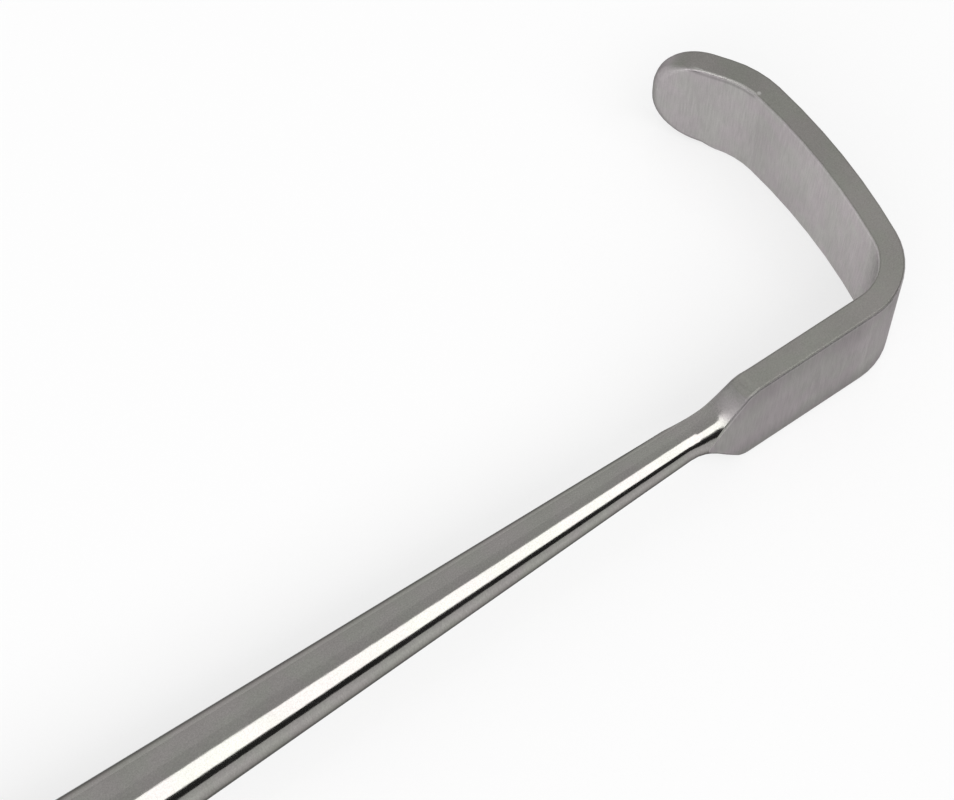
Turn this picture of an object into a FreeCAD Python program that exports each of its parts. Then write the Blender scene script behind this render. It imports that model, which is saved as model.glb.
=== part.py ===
import FreeCAD, Part
import math
import os

import Sketcher
from FreeCAD import Vector

# Handheld surgical retractor: one piece of stainless steel, 200 mm long.
# A round shaft tapers from a plain grip to a slim neck, flares at a shoulder
# and goes on as a flat strip, which is bent across its flat side into an open hook.
# The shaft's axis is X, the hook opens towards +Y, and the strip stands on its
# narrow edge: its width runs along Z. The grip is as thick as the strip is wide,
# so the part lies level on a table. Sizes are in millimetres and degrees.

SIZES = [
    ("shaft_length", 181.2, "butt end to the corner where the blade reaches its full width"),
    ("grip_length", 56.0, "butt end to the start of the taper"),
    ("butt_radius", 4.0, "rounding of the butt end"),
    ("neck_diameter", 2.9, "slimmest section, where the taper meets the shoulder"),
    ("neck_fillet", 3.5, "hollow rounding between taper and shoulder"),
    ("shoulder_angle", 48.0, "slope of the shoulder against the shaft's axis"),
    ("shoulder_radius", 1.5, "rounding where the shoulder reaches full width"),
    ("blade_width", 10.0, "width of the strip, along Z, and thickness of the grip"),
    ("blade_thickness", 2.0, "thickness of the strip"),
    ("blade_setback", 0.75, "how far the strip's middle lies outside the shaft's axis"),
    ("runout_angle", 8.0, "slope at which the outer flat leaves the neck"),
    ("ramp_angle", 13.0, "slope from the neck's inner side down to the strip"),
    ("ramp_inset", 0.5, "where the inner ramp ends, short of the shoulder's corner"),
    ("ramp_radius", 20.0, "hollow rounding between the inner ramp and the strip"),
    ("straight_length", 11.8, "straight part of the strip, past the shoulder's corner"),
    ("corner_radius", 5.0, "first bend, at the middle of the strip"),
    ("corner_turn", 77.5, "turn of the first bend"),
    ("belly_radius", 53.0, "slow curve of the hook's back"),
    ("belly_turn", 16.5, "turn of the slow curve"),
    ("tip_bend_radius", 7.8, "last bend, at the middle of the strip"),
    ("tip_bend_turn", 29.0, "turn of the last bend"),
    ("tip_length", 5.9, "straight end past the last bend"),
    ("tip_corner_radius", 4.4, "rounded corners of the free end"),
    ("nose_radius", 0.85, "rounding of the end's own edges, a blunt nose"),
    ("edge_radius", 0.25, "rounding along the other edges"),
]

# Places worked out from the sizes. The flare runs on past the blade's full
# width and is then trimmed to it. The strip's own section takes over past the
# rounded shoulder. Roundings of whole ends are limited by what they round.
PLACES = [
    ("grip_diameter", "blade_width"),
    ("butt_rounding", "min(butt_radius; 0.46 * grip_diameter)"),
    ("shoulder_run", "(blade_width - neck_diameter) / 2 / tan(shoulder_angle * 1deg)"),
    ("neck_place", "shaft_length - shoulder_run"),
    ("ramp_end", "shaft_length - ramp_inset"),
    ("strip_start", "shaft_length + 2 * shoulder_radius"),
    ("flare_end", "strip_start + blade_thickness"),
    ("flare_radius", "neck_diameter / 2 + (flare_end - neck_place) * tan(shoulder_angle * 1deg)"),
    ("flat_start", "neck_place - neck_fillet / 2"),
    ("outer_face", "-blade_setback - blade_thickness / 2"),
    ("inner_face", "-blade_setback + blade_thickness / 2"),
    ("cut_reach", "2 * flare_radius"),
    ("end_rounding", "min(tip_corner_radius; 0.46 * blade_width)"),
    ("grip_middle", "(butt_radius + grip_length) / 2"),
]

NODE = "retractor"
SHARP_EDGE = 25.0
TINY = 1e-4


def make_sheet(doc):
    """The spreadsheet that drives the model, one named size to a row."""
    sheet = doc.addObject("Spreadsheet::Sheet", "sizes")
    rows = [(name, str(size), note) for name, size, note in SIZES]
    rows += [(name, "=" + formula, "worked out from the sizes above") for name, formula in PLACES]
    for number, (name, content, note) in enumerate(rows, start=1):
        sheet.set(f"A{number}", name)
        sheet.set(f"B{number}", content)
        sheet.set(f"C{number}", note)
        sheet.setAlias(f"B{number}", name)
    doc.recompute()
    return sheet


def new_sketch(body, name, role):
    """An empty sketch on one of the body's own origin planes."""
    plane = next(item for item in body.Origin.OriginFeatures if item.Role == role)
    sketch = body.newObject("Sketcher::SketchObject", name)
    sketch.AttachmentSupport = [(plane, "")]
    sketch.MapMode = "FlatFace"
    return sketch


def work_out(sketch, formula):
    """What a formula of sizes gives now, as a plain number."""
    return float(sketch.evalExpression(formula))


def drive(sketch, kind, where, formula, name):
    """A constraint whose size is a formula; angles are written in degrees."""
    size = work_out(sketch, formula)
    if kind == "Angle":
        size = math.radians(size)
    index = sketch.addConstraint(Sketcher.Constraint(kind, *where, size))
    sketch.renameConstraint(index, name)
    sketch.setExpression(f"Constraints.{name}", formula)


def outline(sketch, corners):
    """A closed outline of straight lines; each corner is a pair of formulas."""
    points = [Vector(work_out(sketch, x), work_out(sketch, y), 0) for x, y in corners]
    lines = [
        sketch.addGeometry(Part.LineSegment(start, end))
        for start, end in zip(points, points[1:] + points[:1])
    ]
    for line, following in zip(lines, lines[1:] + lines[:1]):
        sketch.addConstraint(Sketcher.Constraint("Coincident", line, 2, following, 1))
    for line, (x, y) in zip(lines, corners):
        drive(sketch, "DistanceX", (-1, 1, line, 1), x, f"across_{line}")
        drive(sketch, "DistanceY", (-1, 1, line, 1), y, f"along_{line}")


def round_corner(sketch, line, size):
    """Round the corner at a line's first point. The corner's own place stays fixed."""
    formula = f"sizes.{size}"
    sketch.fillet(line, 1, work_out(sketch, formula), True, True)
    arc = sketch.GeometryCount - 2
    drive(sketch, "Radius", (arc,), formula, size)


def turn_shaft(body):
    """Grip, taper, neck and flare, turned as one profile about the shaft's axis."""
    sketch = new_sketch(body, "shaft_profile", "XZ_Plane")
    outline(
        sketch,
        [
            ("0", "0"),
            ("sizes.flare_end", "0"),
            ("sizes.flare_end", "sizes.flare_radius"),
            ("sizes.neck_place", "sizes.neck_diameter / 2"),
            ("sizes.grip_length", "sizes.grip_diameter / 2"),
            ("0", "sizes.grip_diameter / 2"),
        ],
    )
    neck, butt = 3, 5
    round_corner(sketch, neck, "neck_fillet")
    round_corner(sketch, butt, "butt_rounding")
    shaft = body.newObject("PartDesign::Revolution", "shaft")
    shaft.Profile = sketch
    shaft.ReferenceAxis = (sketch, ["H_Axis"])
    shaft.Angle = 360
    body.Document.recompute()


def fillet(body, base, edges, size, name):
    """A rounding of some edges of the feature before it."""
    rounding = body.newObject("PartDesign::Fillet", name)
    rounding.Base = (base, edges)
    rounding.setExpression("Radius", f"sizes.{size}")
    body.Document.recompute()


def cut_through(body, sketch, name):
    """Cut a sketch's outlines right through, to both sides of its plane."""
    before = body.Shape.Volume
    cut = body.newObject("PartDesign::Pocket", name)
    cut.Profile = sketch
    cut.Midplane = True
    cut.setExpression("Length", "2 * sizes.cut_reach")
    body.Document.recompute()
    if cut.Shape.Volume > before - TINY:
        raise ValueError(f"{name} cuts nothing")


def flatten_flare(body):
    """Cut the flare down to the strip: two flats and the full-width edges.

    The outer flat lies in the strip's outer face and leaves the neck at a shallow
    slope. On the inner side a longer ramp comes down from the neck to the strip."""
    flats = new_sketch(body, "flat_outlines", "XY_Plane")
    past_end = "sizes.flare_end + sizes.blade_thickness"
    runout_place = "sizes.flat_start - sizes.cut_reach"
    outline(
        flats,
        [
            (past_end, "sizes.outer_face"),
            ("sizes.flat_start", "sizes.outer_face"),
            (runout_place, "sizes.outer_face - sizes.cut_reach * tan(sizes.runout_angle * 1deg)"),
            (runout_place, "-sizes.cut_reach"),
            (past_end, "-sizes.cut_reach"),
        ],
    )
    ramp_place = "sizes.ramp_end - sizes.cut_reach"
    outline(
        flats,
        [
            (past_end, "sizes.inner_face"),
            (past_end, "sizes.cut_reach"),
            (ramp_place, "sizes.cut_reach"),
            (ramp_place, "sizes.inner_face + sizes.cut_reach * tan(sizes.ramp_angle * 1deg)"),
            ("sizes.ramp_end", "sizes.inner_face"),
        ],
    )
    ramp_foot = flats.GeometryCount - 1
    round_corner(flats, ramp_foot, "ramp_radius")
    cut_through(body, flats, "flats")
    edges = new_sketch(body, "width_outlines", "XZ_Plane")
    for side in ("", "-"):
        outline(
            edges,
            [
                ("sizes.neck_place", f"{side}sizes.blade_width / 2"),
                (past_end, f"{side}sizes.blade_width / 2"),
                (past_end, f"{side}sizes.cut_reach"),
                ("sizes.neck_place", f"{side}sizes.cut_reach"),
            ],
        )
    cut_through(body, edges, "full_width")


def middle(edge):
    """The point half-way along an edge."""
    return edge.valueAt((edge.FirstParameter + edge.LastParameter) / 2)


def round_shoulder(body, sheet):
    """Round the two corners where the flare's cone reaches the blade's full width."""
    flare = body.Tip
    corners = [
        f"Edge{number}"
        for number, edge in enumerate(flare.Shape.Edges, start=1)
        if isinstance(edge.Curve, Part.Hyperbola)
        and abs(abs(middle(edge).z) - sheet.blade_width / 2) < TINY
    ]
    fillet(body, flare, corners, "shoulder_radius", "shoulder_rounding")


def draw_hook(body):
    """The line along the middle of the strip: straights and left-hand bends, all smooth."""
    sketch = new_sketch(body, "hook_line", "XY_Plane")
    stretches = [
        ("lead", "sizes.straight_length - 2 * sizes.shoulder_radius", None),
        ("corner", "sizes.corner_radius", "sizes.corner_turn"),
        ("belly", "sizes.belly_radius", "sizes.belly_turn"),
        ("tip_bend", "sizes.tip_bend_radius", "sizes.tip_bend_turn"),
        ("tip", "sizes.tip_length", None),
    ]
    start_x, start_y = "sizes.strip_start", "-sizes.blade_setback"
    place = Vector(work_out(sketch, start_x), work_out(sketch, start_y), 0)
    heading = 0.0
    for index, (name, size, turn) in enumerate(stretches):
        length = work_out(sketch, size)
        ahead = Vector(math.cos(heading), math.sin(heading), 0)
        left = Vector(-ahead.y, ahead.x, 0)
        if turn is None:
            following = place + ahead * length
            sketch.addGeometry(Part.LineSegment(place, following))
            drive(sketch, "Distance", (index,), size, f"{name}_length")
        else:
            centre = place + left * length
            end = heading + math.radians(work_out(sketch, turn))
            circle = Part.Circle(centre, Vector(0, 0, 1), length)
            quarter = math.pi / 2
            sketch.addGeometry(Part.ArcOfCircle(circle, heading - quarter, end - quarter))
            drive(sketch, "Radius", (index,), size, f"{name}_radius")
            drive(sketch, "Angle", (index,), turn, f"{name}_turn")
            following = centre + Vector(math.sin(end), -math.cos(end), 0) * length
            heading = end
        if index:
            sketch.addConstraint(Sketcher.Constraint("Tangent", index - 1, 2, index, 1))
        place = following
    sketch.addConstraint(Sketcher.Constraint("Horizontal", 0))
    drive(sketch, "DistanceX", (-1, 1, 0, 1), start_x, "start_across")
    drive(sketch, "DistanceY", (-1, 1, 0, 1), start_y, "start_along")
    return sketch


def bend_strip(body):
    """The flat strip: its section carried along the hook's line."""
    section = new_sketch(body, "strip_section", "YZ_Plane")
    section.setExpression(".AttachmentOffset.Base.z", "sizes.strip_start")
    half = "sizes.blade_width / 2"
    outline(
        section,
        [
            ("sizes.outer_face", f"-{half}"),
            ("sizes.inner_face", f"-{half}"),
            ("sizes.inner_face", half),
            ("sizes.outer_face", half),
        ],
    )
    line = draw_hook(body)
    body.Document.recompute()
    strip = body.newObject("PartDesign::AdditivePipe", "strip")
    strip.Profile = section
    strip.Spine = (line, [f"Edge{number + 1}" for number in range(line.GeometryCount)])
    body.Document.recompute()


def round_tip(body, sheet):
    """Round the two corners of the free end, which lie across the strip's thickness."""
    strip = body.Tip
    half = sheet.blade_width / 2
    across = [
        (middle(edge).y, f"Edge{number}")
        for number, edge in enumerate(strip.Shape.Edges, start=1)
        if abs(edge.Length - sheet.blade_thickness) < TINY
        and abs(abs(middle(edge).z) - half) < TINY
    ]
    corners = [name for _, name in sorted(across)[-2:]]
    fillet(body, strip, corners, "end_rounding", "tip_rounding")


def corner_angle(shape, edge):
    """The angle between the two faces that meet at an edge, 0 where they run on smoothly."""
    point = middle(edge)
    normals = []
    for face in shape.ancestorsOfType(edge, Part.Face):
        u, v = face.Surface.parameter(point)
        normals.append(face.normalAt(u, v))
    if len(normals) != 2:
        return 0.0
    return math.degrees(normals[0].getAngle(normals[1]))


def soften_edges(doc, sheet, body):
    """Round every sharp edge; all of them lie between the neck and the free end.

    The rounding is fine along the strip and grows round the end's corners into a
    blunt nose. The free end is what lies farthest from the shaft's axis."""
    shape = body.Shape
    farthest = max(point.Y for point in shape.Vertexes)
    flat_end = sheet.blade_width / 2 - sheet.end_rounding + TINY

    def radius_at(point):
        at_end = abs(point.z) < flat_end and farthest - point.y < 2 * sheet.blade_thickness
        return sheet.nose_radius if at_end else sheet.edge_radius

    rounding = doc.addObject("Part::Fillet", NODE)
    rounding.Base = body
    rounding.Edges = [
        (number, radius_at(edge.valueAt(edge.FirstParameter)), radius_at(edge.valueAt(edge.LastParameter)))
        for number, edge in enumerate(shape.Edges, start=1)
        if corner_angle(shape, edge) > SHARP_EDGE
    ]
    doc.recompute()
    return rounding


def check(doc):
    """Stop if any step of the model failed or a piece isn't one sound solid."""
    for item in doc.Objects:
        if "Invalid" in item.State or "Error" in item.State:
            raise ValueError(f"{item.Name} failed: {item.State}")
    for piece in doc.findObjects("PartDesign::Body") + doc.findObjects("Part::Fillet"):
        if piece.Shape.isNull() or not piece.Shape.isValid() or len(piece.Shape.Solids) != 1:
            raise ValueError(f"{piece.Label} isn't one sound solid")


def make_retractor(doc, sheet):
    """The whole part, with its frame's origin in the middle of the grip."""
    body = doc.addObject("PartDesign::Body", "blank")
    turn_shaft(body)
    flatten_flare(body)
    round_shoulder(body, sheet)
    bend_strip(body)
    round_tip(body, sheet)
    body.setExpression(".Placement.Base.x", "-sizes.grip_middle")
    doc.recompute()
    retractor = soften_edges(doc, sheet, body)
    retractor.Label = NODE
    return retractor


def main():
    doc = FreeCAD.newDocument("instrument")
    sheet = make_sheet(doc)
    retractor = make_retractor(doc, sheet)
    check(doc)
    os.makedirs("parts", exist_ok=True)
    retractor.Shape.exportStep(f"parts/{retractor.Label}.step")
    box = retractor.Shape.optimalBoundingBox(False)
    print(f"{retractor.Label}: {retractor.Shape.Volume:.1f} mm3, {box}")


main()
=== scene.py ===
import math
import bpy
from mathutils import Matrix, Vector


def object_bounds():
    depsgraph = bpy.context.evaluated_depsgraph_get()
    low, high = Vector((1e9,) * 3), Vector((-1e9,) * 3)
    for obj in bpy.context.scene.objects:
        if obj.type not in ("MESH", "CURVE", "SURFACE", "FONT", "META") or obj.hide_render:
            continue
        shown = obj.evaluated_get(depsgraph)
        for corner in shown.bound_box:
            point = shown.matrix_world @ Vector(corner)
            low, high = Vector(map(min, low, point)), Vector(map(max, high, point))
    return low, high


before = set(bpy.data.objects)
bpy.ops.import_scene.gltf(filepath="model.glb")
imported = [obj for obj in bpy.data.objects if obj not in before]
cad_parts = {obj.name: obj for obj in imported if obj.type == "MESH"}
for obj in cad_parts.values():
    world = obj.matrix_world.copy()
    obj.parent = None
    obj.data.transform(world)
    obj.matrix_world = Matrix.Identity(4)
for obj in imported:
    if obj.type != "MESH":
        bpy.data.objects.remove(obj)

from types import SimpleNamespace

import bpy
from mathutils import Matrix, Vector

# The instrument lies on a white table. Its shaft's axis is X, the blade lies towards +X, the
# hook opens towards +Y and +Z is up. The scene is in metres.
CAD_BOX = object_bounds()
STEEL_NODE = "retractor"
TABLE_TOP = CAD_BOX[0].z
TABLE_REACH = 4.0
WHITE = (1.0, 1.0, 1.0, 1.0)

# Camera: it looks down on the blade from the grip's side.
LENS_MM = 98.11
SENSOR_MM = 36.0
CLIP_START = 0.01
LOOK_HEADING = math.radians(54.65)
LOOK_DOWN = math.radians(61.83)
ROLL = math.radians(-0.21)
CAMERA_DISTANCE = 0.19865
NECK_POINT = Vector((0.1517, -0.00073, -0.005))
NECK_RIGHT_OF_CENTRE = 0.019836
NECK_BELOW_CENTRE = 0.003423

# Studio: a soft box on the -Y side shows as the shaft's long highlight. It runs on as a
# narrower strip towards -X, behind the grip, which carries the highlight up the shoulder.
# Heights are degrees above the -Y horizon, counted over the top: 180 is the +Y horizon.
# A direction's X part says how far it leans towards -X or +X.
BOX_FOOT = 24.0
BOX_TOP = 71.0
BOX_FROM_X = -0.08
BOX_TO_X = 0.50
STRIP_FOOT = 30.0
STRIP_TOP = 60.0
STRIP_FROM_X = -0.86
END_FOOT = 8.0
END_TOP = 76.0
BRIGHT = 3.1
LOW_STRENGTH = 0.035
TOP_STRENGTH = 0.62
FAR_STRENGTH = 0.73
SKY_HEIGHT = 130.0
SOFT_EDGE = 2.0
SOFT_SIDE = 0.05

# Table: a white board with a fine grain. A share of its picture is plain white.
# Each noise gives waves per metre and how far it changes the white.
BOARD_WHITE = 0.90
BOARD_ROUGHNESS = 0.15
BOARD_GRAIN = (4000.0, 0.006)
BOARD_CLOUD = (12.0, 0.004)
TABLE_WHITE = 0.98
WHITE_SHARE = 0.70

# Steel. From here on, places are millimetres on the part. A pair is a span over which a share
# rises or falls, and spans called UPRIGHT or FACING are parts of the surface's normal.
MM_PER_METRE = 1000.0

# The shaft is polished up to the shoulder, where it fades into the blade's satin finish.
# The flat outer face is satin from a little nearer to the shaft.
POLISHED = (0.331, 0.323, 0.307)
POLISH_FADES_X = (148.7, 149.9)
FLAT_FACING_Y = (-0.985, -0.94)
FLAT_SATIN_EARLIER = 1.8
EDGE_TINT = (0.25, 0.25, 0.25)

# Satin of the hook's inner side, from the corner to the tip, with painted light: lighter towards
# the corner, where shade falls.
SATIN_INSIDE = (0.455, 0.435, 0.435)
INSIDE_Y = (3.0, 25.0)
INSIDE_PAINTED_LIGHT = (1.38, 0.98)

# Satin of the outer side, with painted light and shade: darker along its lower and upper edge,
# lighter past the corner.
SATIN_OUTSIDE = (0.478, 0.456, 0.456)
OUTWARDS = math.radians(-28.5)
OUTSIDE_FACING = (-0.3, 0.3)
LOWER_EDGE_Z = (-5.0, -2.0)
LOWER_EDGE_SHADE = 0.8
UPPER_EDGE_Z = (1.0, 5.0)
UPPER_EDGE_SHADE = 0.86
PAST_CORNER_X = (161.0, 166.0)
PAST_CORNER_LIGHT = 1.3

# Satin of the shoulder, with painted shade: darker on the side that faces the shaft.
SHOULDER_ENDS_X = (153.0, 154.0)
SHOULDER_FACING_X = (-0.5, -0.2)
SHOULDER_SHADE = 0.5

# Satin of the strip's narrow sides, from the shaft to the tip: a darker copy of the satin, painted
# shade, darker still towards the tip.
SATIN_NARROW = (0.305, 0.300, 0.280)
NARROW_UPRIGHT = (0.55, 0.9)
NARROW_Y = (0.0, 25.0)
NARROW_SHADE_TONES = (1.06, 0.92)

# The strip's rounded edges are rougher and get painted shade, darker on the outer side, but not
# towards +X and not round the tip's nose.
EDGE_STARTS_UPRIGHT = (0.15, 0.4)
EDGE_ENDS_UPRIGHT = (0.9, 0.99)
EDGE_FACING_X = (0.2, 0.5)
EDGE_STARTS_X = (149.9, 150.9)
EDGE_SHADE_INSIDE = 0.84
EDGE_SHADE_OUTSIDE = 0.50
TIP_WAY = (-0.545, 0.839, 0.0)
NOSE_FACING = (0.03, 0.18)
NOSE_Y = (21.5, 23.5)

# A burr is left along the hook's inner upper edge at the tip. Its bright line, which ends
# in a bright grain, is a painted highlight, and the dark line below it is painted shade.
BURR_STARTS_Y = (18.7, 19.1)
BURR_ENDS_Y = (23.3, 24.3)
BURR_FACING_Z = (-0.1, 0.1)
BURR_STARTS_UPRIGHT = (0.6, 0.75)
BURR_ENDS_UPRIGHT = (0.93, 0.99)
BURR_GLINT_PLACE = (168.25, 18.85, 4.95)
BURR_GLINT_RADIUS = (0.11, 0.22)
BURR_HIGHLIGHT = (0.52, 0.51, 0.49)
BURR_SHADE_STARTS_Z = (4.35, 4.55)
BURR_SHADE_ENDS_Z = (4.70, 4.80)
BURR_SHADE_TONE = 0.55

# Irregularities of the steel: waves per millimetre, detail and roughness of each noise, and
# how far the pattern is drawn out along each axis.
CLOUD = (0.25, 3.0, 0.5)
BRUSH = (9.0, 3.0, 0.6)
BRUSH_DRAWN = (1.0, 1.0, 0.06)
GRAIN = (9.0, 2.0, 0.5)
STREAK = (7.0, 2.0, 0.5)
STREAK_DRAWN = (0.15, 1.0, 1.0)
HUE = (0.4, 2.0, 0.5)
MOST_NOISE = (0.3, 0.7)
WIDE_NOISE = (0.25, 0.75)
CLOUD_TONES = (0.97, 1.03)
BRUSH_TONES = (0.92, 1.08)
GRAIN_TONES = (0.94, 1.06)
HUE_NOISE = (0.35, 0.65)
REDDER = (1.015, 0.99, 1.01, 1.0)
GREENER = (0.99, 1.008, 0.985, 1.0)
BURR_NOISE = (0.3, 0.6)
BURR_TONES = (0.5, 1.0)
POLISHED_ROUGHNESS = (0.09, 0.13)
SATIN_ROUGHNESS = (0.35, 0.45)
EDGE_ROUGHNESS = 0.55
BURR_ROUGHNESS = 0.3
TEXTURE_STARTS_X = (149.4, 150.9)
STREAK_HEIGHT = 0.25
BUMP_STRENGTH = 0.35
BUMP_METRES = 0.00002


class Nodes:
    """Short hand for building a node tree."""

    def __init__(self, tree):
        self.tree = tree
        tree.nodes.clear()

    def add(self, kind, settings=None, **inputs):
        """A node; inputs are plain values or other nodes' outputs, by socket name or number."""
        node = self.tree.nodes.new(kind)
        for name, value in (settings or {}).items():
            setattr(node, name, value)
        for name, value in inputs.items():
            numbered = name[0] == "i" and name[1:].isdigit()
            key = int(name[1:]) if numbered else name.replace("_", " ")
            self.feed(node.inputs[key], value)
        return node

    def feed(self, socket, value):
        if isinstance(value, bpy.types.NodeSocket):
            self.tree.links.new(value, socket)
        else:
            socket.default_value = value

    def math(self, operation, first, second=0.0, clamp=False):
        settings = {"operation": operation, "use_clamp": clamp}
        return self.add("ShaderNodeMath", settings, i0=first, i1=second).outputs[0]

    def product(self, first, *others):
        """Several numbers multiplied."""
        for other in others:
            first = self.math("MULTIPLY", first, other)
        return first

    def rise(self, value, span, levels=(0.0, 1.0)):
        """A smooth step from the first level to the second while value crosses the span."""
        settings = {"interpolation_type": "SMOOTHSTEP"}
        start, end = span
        low, high = levels
        node = self.add("ShaderNodeMapRange", settings, i0=value, i1=start, i2=end, i3=low, i4=high)
        return node.outputs[0]

    def fall(self, value, span):
        """A smooth step from 1 to 0 while value crosses the span."""
        return self.rise(value, span, (1.0, 0.0))

    def mix(self, share, first, second):
        """A mix of two numbers."""
        return self.add("ShaderNodeMix", i0=share, i2=first, i3=second).outputs[0]

    def mix_colour(self, share, first, second):
        settings = {"data_type": "RGBA"}
        return self.add("ShaderNodeMix", settings, i0=share, i6=first, i7=second).outputs[2]

    def tint(self, colour, strength):
        """A colour times a number."""
        settings = {"operation": "SCALE"}
        return self.add("ShaderNodeVectorMath", settings, i0=colour, i3=strength).outputs[0]

    def times(self, vector, factors):
        """A vector or colour times another, part by part."""
        settings = {"operation": "MULTIPLY"}
        return self.add("ShaderNodeVectorMath", settings, i0=vector, i1=factors).outputs[0]

    def measure(self, operation, vector, other):
        """One number from two vectors, such as their dot product or distance."""
        settings = {"operation": operation}
        return self.add("ShaderNodeVectorMath", settings, i0=vector, i1=other).outputs["Value"]

    def split(self, vector):
        """The three parts of a vector."""
        return self.add("ShaderNodeSeparateXYZ", Vector=vector).outputs

    def noise(self, vector, scale, detail=2.0, rough=0.5):
        settings = {"noise_dimensions": "3D"}
        inputs = {"Vector": vector, "Scale": scale, "Detail": detail, "Roughness": rough}
        return self.add("ShaderNodeTexNoise", settings, **inputs).outputs[0]


def new_material(name):
    """An empty material and its node tree."""
    material = bpy.data.materials.new(name)
    material.use_nodes = True
    return material, Nodes(material.node_tree)


def rgba(colour):
    return (*colour, 1.0)


def add_camera():
    """The camera, placed by where the neck's foot stands in its picture."""
    level = math.cos(LOOK_DOWN)
    ahead_x = math.cos(LOOK_HEADING) * level
    ahead_y = math.sin(LOOK_HEADING) * level
    ahead = Vector((ahead_x, ahead_y, -math.sin(LOOK_DOWN)))
    level_right = Vector((math.sin(LOOK_HEADING), -math.cos(LOOK_HEADING), 0))
    level_up = level_right.cross(ahead)
    right = math.cos(ROLL) * level_right + math.sin(ROLL) * level_up
    up = math.cos(ROLL) * level_up - math.sin(ROLL) * level_right
    centre = NECK_POINT - right * NECK_RIGHT_OF_CENTRE + up * NECK_BELOW_CENTRE
    place = centre - ahead * CAMERA_DISTANCE
    data = bpy.data.cameras.new("camera")
    data.lens = LENS_MM
    data.sensor_width = SENSOR_MM
    data.clip_start = CLIP_START
    camera = bpy.data.objects.new("camera", data)
    turn = Matrix((right, up, -ahead)).transposed()
    camera.matrix_world = Matrix.Translation(place) @ turn.to_4x4()
    bpy.context.scene.collection.objects.link(camera)
    bpy.context.scene.camera = camera


def table_material():
    """White board with a very fine grain."""
    material, nodes = new_material("white_table")
    place = nodes.add("ShaderNodeTexCoord").outputs["Object"]
    grain_scale, grain_change = BOARD_GRAIN
    cloud_scale, cloud_change = BOARD_CLOUD
    grain_whites = (BOARD_WHITE - grain_change, BOARD_WHITE + grain_change)
    grain = nodes.rise(nodes.noise(place, grain_scale), MOST_NOISE, grain_whites)
    cloud = nodes.rise(nodes.noise(place, cloud_scale), MOST_NOISE, (-cloud_change, cloud_change))
    shade = nodes.math("ADD", grain, cloud)
    colour = nodes.add("ShaderNodeCombineColor", Red=shade, Green=shade, Blue=shade).outputs[0]
    board = nodes.add("ShaderNodeBsdfPrincipled", Base_Color=colour, Roughness=BOARD_ROUGHNESS)
    glow = nodes.add("ShaderNodeEmission", Color=WHITE, Strength=TABLE_WHITE)
    path = nodes.add("ShaderNodeLightPath")
    seen = nodes.math("ADD", path.outputs["Is Camera Ray"], path.outputs["Is Glossy Ray"])
    seen = nodes.math("ADD", seen, path.outputs["Is Transmission Ray"], clamp=True)
    share = nodes.math("MULTIPLY", seen, WHITE_SHARE)
    surface = nodes.add("ShaderNodeMixShader", i0=share, i1=board.outputs[0], i2=glow.outputs[0])
    nodes.add("ShaderNodeOutputMaterial", Surface=surface.outputs[0])
    return material


def add_table():
    """A wide white table top."""
    reach = TABLE_REACH
    mesh = bpy.data.meshes.new("table_top")
    corners = [(-reach, -reach), (reach, -reach), (reach, reach), (-reach, reach)]
    mesh.from_pydata([(x, y, TABLE_TOP) for x, y in corners], [], [(0, 1, 2, 3)])
    mesh.materials.append(table_material())
    table = bpy.data.objects.new("table_top", mesh)
    bpy.context.scene.collection.objects.link(table)


def read_spot(nodes):
    """Where a spot of the steel lies, in millimetres, and which way it faces."""
    metres = nodes.add("ShaderNodeTexCoord").outputs["Object"]
    place = nodes.times(metres, (MM_PER_METRE, MM_PER_METRE, MM_PER_METRE))
    x, y, z = nodes.split(place)
    normal = nodes.add("ShaderNodeNewGeometry").outputs["Normal"]
    facing_x, facing_y, facing_z = nodes.split(normal)
    return SimpleNamespace(
        place=place,
        x=x,
        y=y,
        z=z,
        normal=normal,
        facing_x=facing_x,
        facing_y=facing_y,
        facing_z=facing_z,
        upright=nodes.math("ABSOLUTE", facing_z),
    )


def make_noises(nodes, place):
    """The steel's fine irregularities."""
    return SimpleNamespace(
        cloud=nodes.noise(place, *CLOUD),
        brush=nodes.noise(nodes.times(place, BRUSH_DRAWN), *BRUSH),
        grain=nodes.noise(place, *GRAIN),
        streak=nodes.noise(nodes.times(place, STREAK_DRAWN), *STREAK),
        hue=nodes.noise(place, *HUE),
    )


def find_zones(nodes, spot):
    """Shares from 0 to 1: satin finish, narrow sides, rough edges that get painted shade, and outer
    side.
    """
    earlier = nodes.rise(spot.facing_y, FLAT_FACING_Y, (FLAT_SATIN_EARLIER, 0.0))
    satin = nodes.rise(nodes.math("ADD", spot.x, earlier), POLISH_FADES_X)
    narrow = nodes.product(satin, nodes.rise(spot.upright, NARROW_UPRIGHT))
    towards_tip = nodes.measure("DOT_PRODUCT", spot.normal, TIP_WAY)
    nose = nodes.product(nodes.rise(towards_tip, NOSE_FACING), nodes.rise(spot.y, NOSE_Y))
    edge = nodes.product(
        nodes.rise(spot.upright, EDGE_STARTS_UPRIGHT),
        nodes.fall(spot.upright, EDGE_ENDS_UPRIGHT),
        nodes.fall(spot.facing_x, EDGE_FACING_X),
        nodes.math("SUBTRACT", 1.0, nose, clamp=True),
        nodes.rise(spot.x, EDGE_STARTS_X),
    )
    outwards = (math.cos(OUTWARDS), math.sin(OUTWARDS), 0.0)
    outside = nodes.rise(nodes.measure("DOT_PRODUCT", spot.normal, outwards), OUTSIDE_FACING)
    return SimpleNamespace(satin=satin, narrow=narrow, edge=edge, outside=outside)


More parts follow.
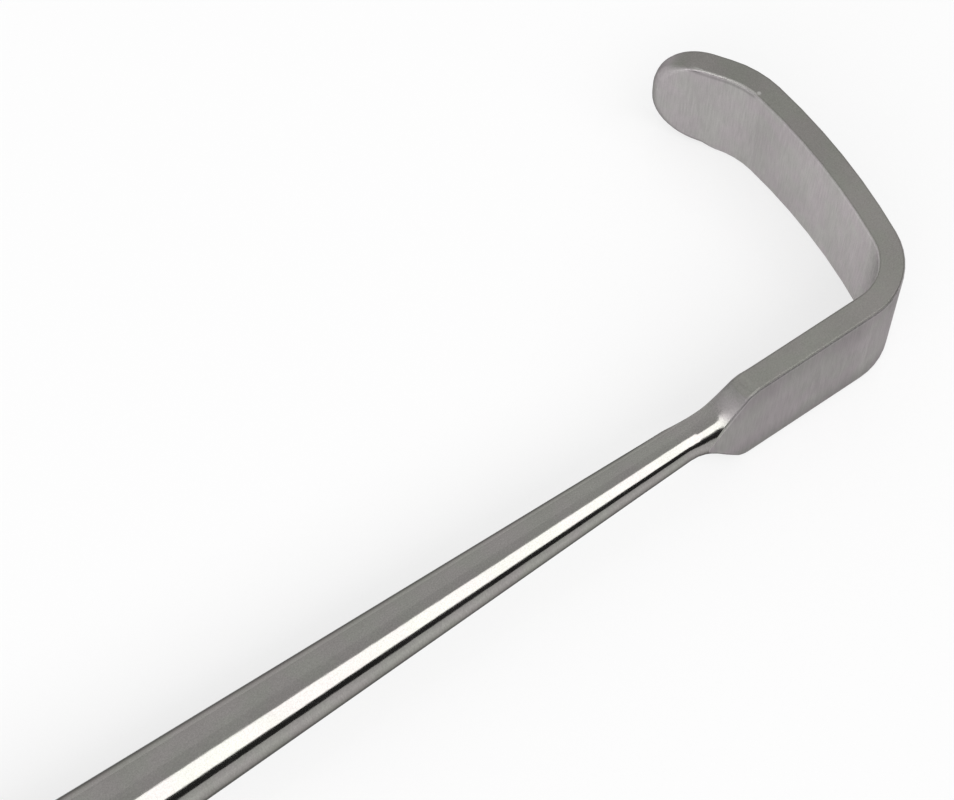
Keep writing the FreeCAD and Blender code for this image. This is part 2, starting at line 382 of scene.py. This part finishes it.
def satin_colour(nodes, spot, zones):
    """The blade's colour: inner side, outer side, shoulder and narrow sides, as copies of one satin
    with painted light and shade.
    """
    # Painted light: the inner side is lighter towards the corner, where shade falls.
    inside = nodes.tint(SATIN_INSIDE, nodes.rise(spot.y, INSIDE_Y, INSIDE_PAINTED_LIGHT))
    # Painted shade along the outer side's lower and upper edge, painted light past the corner.
    outside_light_and_shade = nodes.product(
        nodes.rise(spot.z, LOWER_EDGE_Z, (LOWER_EDGE_SHADE, 1.0)),
        nodes.rise(spot.z, UPPER_EDGE_Z, (1.0, UPPER_EDGE_SHADE)),
        nodes.rise(spot.x, PAST_CORNER_X, (1.0, PAST_CORNER_LIGHT)),
    )
    outside = nodes.tint(SATIN_OUTSIDE, outside_light_and_shade)
    wide = nodes.mix_colour(zones.outside, inside, outside)
    # Painted shade on the shoulder's side that faces the shaft.
    before_strip = nodes.fall(spot.x, SHOULDER_ENDS_X)
    shoulder = nodes.product(before_strip, nodes.fall(spot.facing_x, SHOULDER_FACING_X))
    wide = nodes.tint(wide, nodes.mix(shoulder, 1.0, SHOULDER_SHADE))
    # The narrow sides: a darker copy of the satin, painted shade, darker still towards the tip.
    narrow = nodes.tint(SATIN_NARROW, nodes.rise(spot.y, NARROW_Y, NARROW_SHADE_TONES))
    return nodes.mix_colour(zones.narrow, wide, narrow)


def steel_colour(nodes, spot, noises, zones):
    """The colour of polished and satin steel, with its irregularities, the blade's painted light
    and shade, and painted shade on the edges.
    """
    colour = nodes.mix_colour(zones.satin, rgba(POLISHED), satin_colour(nodes, spot, zones))
    tone = nodes.product(
        nodes.rise(noises.cloud, MOST_NOISE, CLOUD_TONES),
        nodes.rise(noises.brush, WIDE_NOISE, BRUSH_TONES),
        nodes.rise(noises.grain, WIDE_NOISE, GRAIN_TONES),
        # Painted shade on the rounded edges, darker on the outer side.
        nodes.mix(zones.edge, 1.0, nodes.mix(zones.outside, EDGE_SHADE_INSIDE, EDGE_SHADE_OUTSIDE)),
    )
    warmth = nodes.mix_colour(nodes.rise(noises.hue, HUE_NOISE), REDDER, GREENER)
    return nodes.times(nodes.tint(colour, tone), warmth)


def find_burr(nodes, spot, noises, zones):
    """Shares from 0 to 1: the burr's bright line with its grain, a painted highlight, and the dark
    line, painted shade.
    """
    stretch = nodes.product(
        nodes.rise(spot.y, BURR_STARTS_Y),
        nodes.fall(spot.y, BURR_ENDS_Y),
        nodes.rise(spot.facing_z, BURR_FACING_Z),
        nodes.mix(zones.outside, 1.0, 0.0),
    )
    # Painted shade: the dark line below the burr.
    dark = nodes.product(
        stretch,
        nodes.rise(spot.z, BURR_SHADE_STARTS_Z),
        nodes.fall(spot.z, BURR_SHADE_ENDS_Z),
    )
    # Painted highlight: the burr's bright line.
    line = nodes.product(
        stretch,
        nodes.rise(spot.upright, BURR_STARTS_UPRIGHT),
        nodes.fall(spot.upright, BURR_ENDS_UPRIGHT),
        nodes.rise(noises.grain, BURR_NOISE, BURR_TONES),
    )
    # Painted glint where the burr's line ends.
    grain = nodes.fall(nodes.measure("DISTANCE", spot.place, BURR_GLINT_PLACE), BURR_GLINT_RADIUS)
    return nodes.math("MAXIMUM", line, grain), dark


def steel_bump(nodes, spot, noises):
    """Fine lengthwise streaks on the polished shaft, brushed grain on the blade."""
    textured = nodes.rise(spot.x, TEXTURE_STARTS_X)
    streaks = nodes.math("MULTIPLY", noises.streak, STREAK_HEIGHT)
    height = nodes.mix(textured, streaks, nodes.math("ADD", noises.brush, noises.grain))
    bump = nodes.add("ShaderNodeBump", Strength=BUMP_STRENGTH, Distance=BUMP_METRES, Height=height)
    return bump.outputs[0]


def steel_material():
    """One steel, polished on the shaft and satin on the blade, with rougher edges, painted light
    and shade, and a painted highlight on the burr.
    """
    material, nodes = new_material("steel")
    spot = read_spot(nodes)
    noises = make_noises(nodes, spot.place)
    zones = find_zones(nodes, spot)
    burr, dark = find_burr(nodes, spot, noises, zones)

    colour = steel_colour(nodes, spot, noises, zones)
    # Painted shade below the burr, then the burr's painted highlight.
    colour = nodes.tint(colour, nodes.mix(dark, 1.0, BURR_SHADE_TONE))
    colour = nodes.mix_colour(burr, colour, rgba(BURR_HIGHLIGHT))

    polished_rough = nodes.rise(noises.cloud, MOST_NOISE, POLISHED_ROUGHNESS)
    satin_rough = nodes.rise(noises.grain, MOST_NOISE, SATIN_ROUGHNESS)
    rough = nodes.mix(zones.satin, polished_rough, satin_rough)
    rough = nodes.mix(zones.edge, rough, EDGE_ROUGHNESS)
    rough = nodes.mix(burr, rough, BURR_ROUGHNESS)

    inputs = {
        "Base_Color": colour,
        "Metallic": 1.0,
        "Roughness": rough,
        "Specular_Tint": rgba(EDGE_TINT),
        "Normal": steel_bump(nodes, spot, noises),
    }
    surface = nodes.add("ShaderNodeBsdfPrincipled", **inputs)
    nodes.add("ShaderNodeOutputMaterial", Surface=surface.outputs[0])
    return material


def light_studio():
    """Soft light from all round, brighter from the soft box, dark low behind it."""
    world = bpy.data.worlds.new("studio")
    bpy.context.scene.world = world
    world.use_nodes = True
    nodes = Nodes(world.node_tree)
    lean, sideways, upwards = nodes.split(nodes.add("ShaderNodeTexCoord").outputs["Generated"])
    towards_box = nodes.math("MULTIPLY", sideways, -1.0)
    height = nodes.math("DEGREES", nodes.math("ARCTAN2", upwards, towards_box))

    sky = nodes.rise(height, (BOX_TOP, SKY_HEIGHT), (TOP_STRENGTH, FAR_STRENGTH))
    above_low = nodes.rise(height, (BOX_FOOT - SOFT_EDGE, BOX_FOOT + SOFT_EDGE))
    sky = nodes.mix(above_low, LOW_STRENGTH, sky)

    strip_to_box = (BOX_FROM_X - 2 * SOFT_SIDE, BOX_FROM_X)
    foot = nodes.rise(lean, strip_to_box, (STRIP_FOOT, BOX_FOOT))
    top = nodes.rise(lean, strip_to_box, (STRIP_TOP, BOX_TOP))
    at_end = nodes.fall(lean, (STRIP_FROM_X - 2 * SOFT_SIDE, STRIP_FROM_X))
    foot = nodes.mix(at_end, foot, END_FOOT)
    top = nodes.mix(at_end, top, END_TOP)
    box = nodes.product(
        nodes.rise(nodes.math("SUBTRACT", height, foot), (-SOFT_EDGE, SOFT_EDGE)),
        nodes.fall(nodes.math("SUBTRACT", height, top), (-SOFT_EDGE, SOFT_EDGE)),
        nodes.fall(lean, (BOX_TO_X - SOFT_SIDE, BOX_TO_X + SOFT_SIDE)),
    )
    strength = nodes.mix(box, sky, BRIGHT)
    background = nodes.add("ShaderNodeBackground", Color=WHITE, Strength=strength)
    nodes.add("ShaderNodeOutputWorld", Surface=background.outputs[0])


add_camera()
add_table()
light_studio()
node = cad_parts[STEEL_NODE]
steel = steel_material()
for slot in node.material_slots:
    slot.material = steel
bpy.context.scene.view_settings.view_transform = "Standard"
